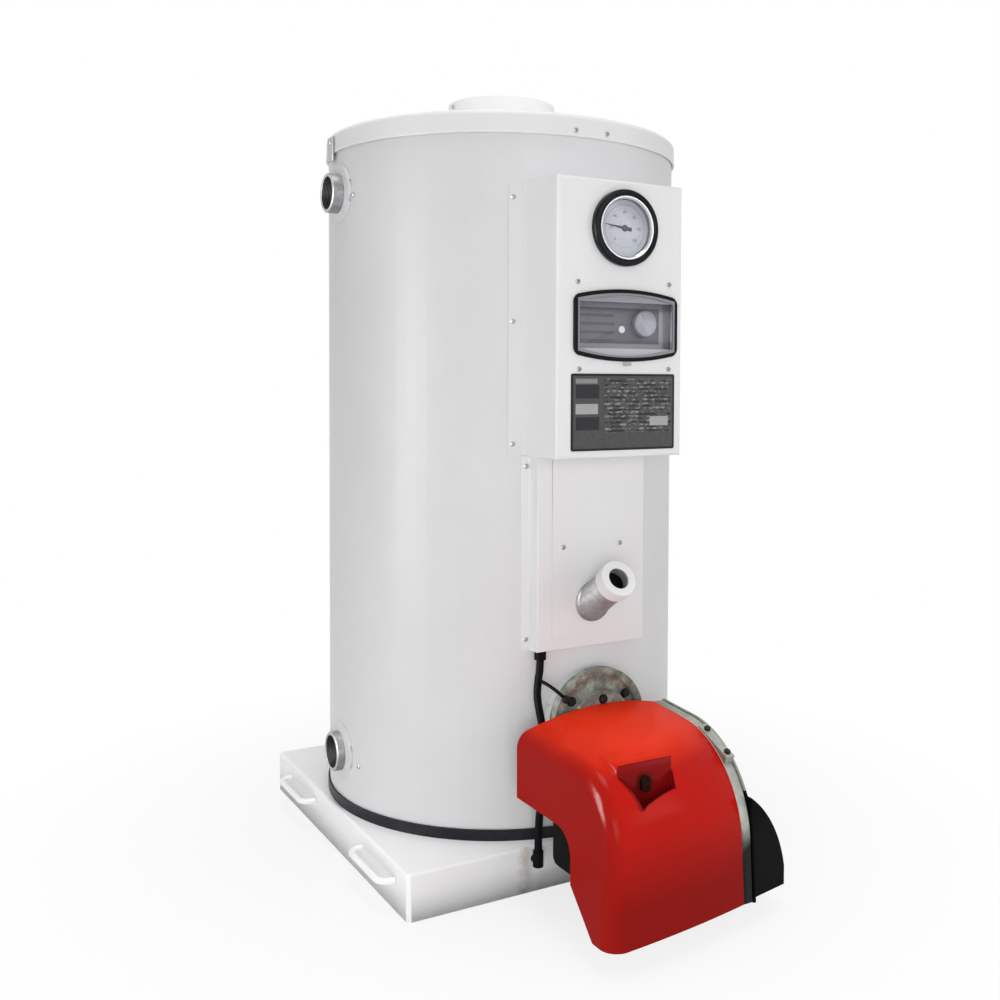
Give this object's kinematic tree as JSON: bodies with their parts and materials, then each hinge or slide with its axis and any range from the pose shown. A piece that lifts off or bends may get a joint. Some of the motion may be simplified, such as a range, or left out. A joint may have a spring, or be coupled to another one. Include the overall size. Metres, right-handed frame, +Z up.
{
  "type": "upright hot-water boiler with burner",
  "caption": "Upright round hot-water boiler on a square base, with a control box, sight port, flue outlet and a bolt-on burner under a red hood.",
  "frame": {"origin": "centre of the base's underside, on the boiler's axis", "axes": "+Z up along the boiler's axis, -Y out of the front with the burner, -X towards the water sockets"},
  "size_m": [0.633, 0.8457, 1.174],
  "materials": {
    "white_enamel": "glossy white enamel",
    "collar_enamel": "satin white enamel",
    "black_rubber": "matt rubber edging",
    "vessel_steel": "dark sooty steel",
    "socket_steel": "grey pipe steel",
    "gauge_black": "black bezel",
    "bright_metal": "bright ring",
    "dial_blue": "pale printed dial",
    "needle_black": "black needle",
    "clear_glass": "clear glass",
    "frame_black": "black frame",
    "face_grey": "grey controller face",
    "knob_grey": "light grey knob",
    "lamp": "pale lamp",
    "smoked_cover": "smoked cover",
    "plate_grey": "dark bare plate",
    "flange_metal": "machined casting",
    "hood_red": "glossy red moulding",
    "cast_aluminium": "die-cast aluminium",
    "intake_black": "black moulding",
    "lead_black": "black cable sheath"
  },
  "bodies": {
    "root": {"base_pan": "white_enamel", "base_handle_front_left": "white_enamel", "base_handle_back_left": "white_enamel", "base_handle_front_right": "white_enamel", "base_handle_back_right": "white_enamel", "foot_trim": "black_rubber", "jacket": "white_enamel", "boiler_body": "vessel_steel", "lid": "white_enamel", "flue_collar": "collar_enamel", "supply_socket": "socket_steel", "return_socket": "socket_steel", "supply_escutcheon": "white_enamel", "return_escutcheon": "white_enamel", "control_box": "white_enamel", "gauge_case": "gauge_black", "gauge_ring": "bright_metal", "gauge_dial": "dial_blue", "gauge_needle": "needle_black", "gauge_glass": "clear_glass", "controller_frame": "frame_black", "controller_face": "face_grey", "controller_knob": "knob_grey", "controller_lamp": "lamp", "controller_cover": "smoked_cover", "data_plate": "plate_grey", "lower_panel": "white_enamel", "burner_neck": "white_enamel", "port_plate": "white_enamel", "sight_tube": "flange_metal", "sight_ring": "white_enamel", "sight_glass": "clear_glass", "burner_flange": "flange_metal", "blast_tube": "flange_metal", "hood": "hood_red", "reset_button": "intake_black", "fan_casing": "cast_aluminium", "fan_motor": "intake_black", "air_intake": "intake_black", "casing_lug": "cast_aluminium", "panel_gland": "lead_black", "base_gland": "lead_black", "burner_lead": "lead_black", "earth_lead": "lead_black", "earth_terminal": "bright_metal"}
  },
  "joints": []
}
